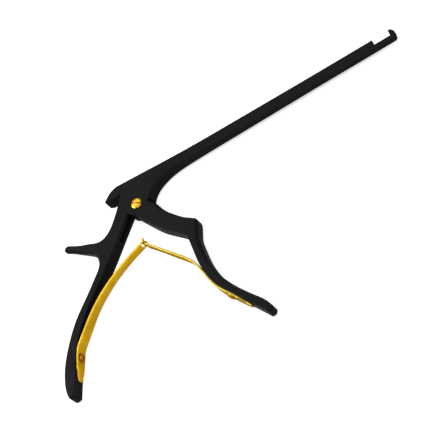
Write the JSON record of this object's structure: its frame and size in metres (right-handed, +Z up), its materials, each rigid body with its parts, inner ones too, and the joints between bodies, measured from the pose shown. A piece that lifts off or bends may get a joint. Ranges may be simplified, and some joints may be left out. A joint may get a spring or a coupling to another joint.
{
  "type": "bone_rongeur",
  "caption": "Bone rongeur: upper shaft slides on a rail toward an up-biting footplate jaw, driven by a lever on a pivoting handle and reopened by interlocking leaf springs",
  "frame": {"origin": "centre of the handle pivot on the lower side face, the face that the instrument rests on", "axes": "+X runs along the shaft to the jaw, +Y points away from the handles, +Z is up, across the thickness of the instrument"},
  "size_m": [0.2884, 0.1499, 0.0106],
  "materials": {
    "black_coating": "satin black coating on stainless steel",
    "gold_coating": "satin gold coloured coating on spring steel"
  },
  "bodies": {
    "frame": {"frame": "black_coating", "pivot_screw": "gold_coating", "rear_spring_screw": "gold_coating"},
    "slider": {"slider": "black_coating"},
    "front_handle": {"front_handle": "black_coating", "front_spring_screw": "gold_coating"},
    "rear_spring": {"rear_spring": "gold_coating"},
    "front_spring": {"front_spring": "gold_coating"}
  },
  "joints": [
    {"name": "handle_pivot", "type": "hinge", "parent": "frame", "child": "front_handle", "pos_m": [0, 0, 0.005], "axis": [0, 0, -1], "range_deg": [0, 40], "stiffness_Nm_per_rad": 0.6, "springref_deg": -20.05},
    {"name": "upper_shaft_slide", "type": "slide", "parent": "frame", "child": "slider", "axis": [1, 0, 0], "range_m": [0, 0.0119]},
    {"name": "rear_spring_flex", "type": "hinge", "parent": "frame", "child": "rear_spring", "pos_m": [-0.053, -0.0585, 0.005], "axis": [0, 0, 1], "range_deg": [0, 11], "deforming": ["rear_spring"]},
    {"name": "front_spring_flex", "type": "hinge", "parent": "front_handle", "child": "front_spring", "pos_m": [0.028, -0.0765, 0.005], "axis": [0, 0, -1], "range_deg": [0, 13], "deforming": ["front_spring"]}
  ],
  "couplings": [
    {"joint": "upper_shaft_slide", "follows": "handle_pivot", "m_per_rad": 0.01692},
    {"joint": "rear_spring_flex", "follows": "handle_pivot", "ratio": 0.2525},
    {"joint": "front_spring_flex", "follows": "handle_pivot", "ratio": 0.302}
  ]
}
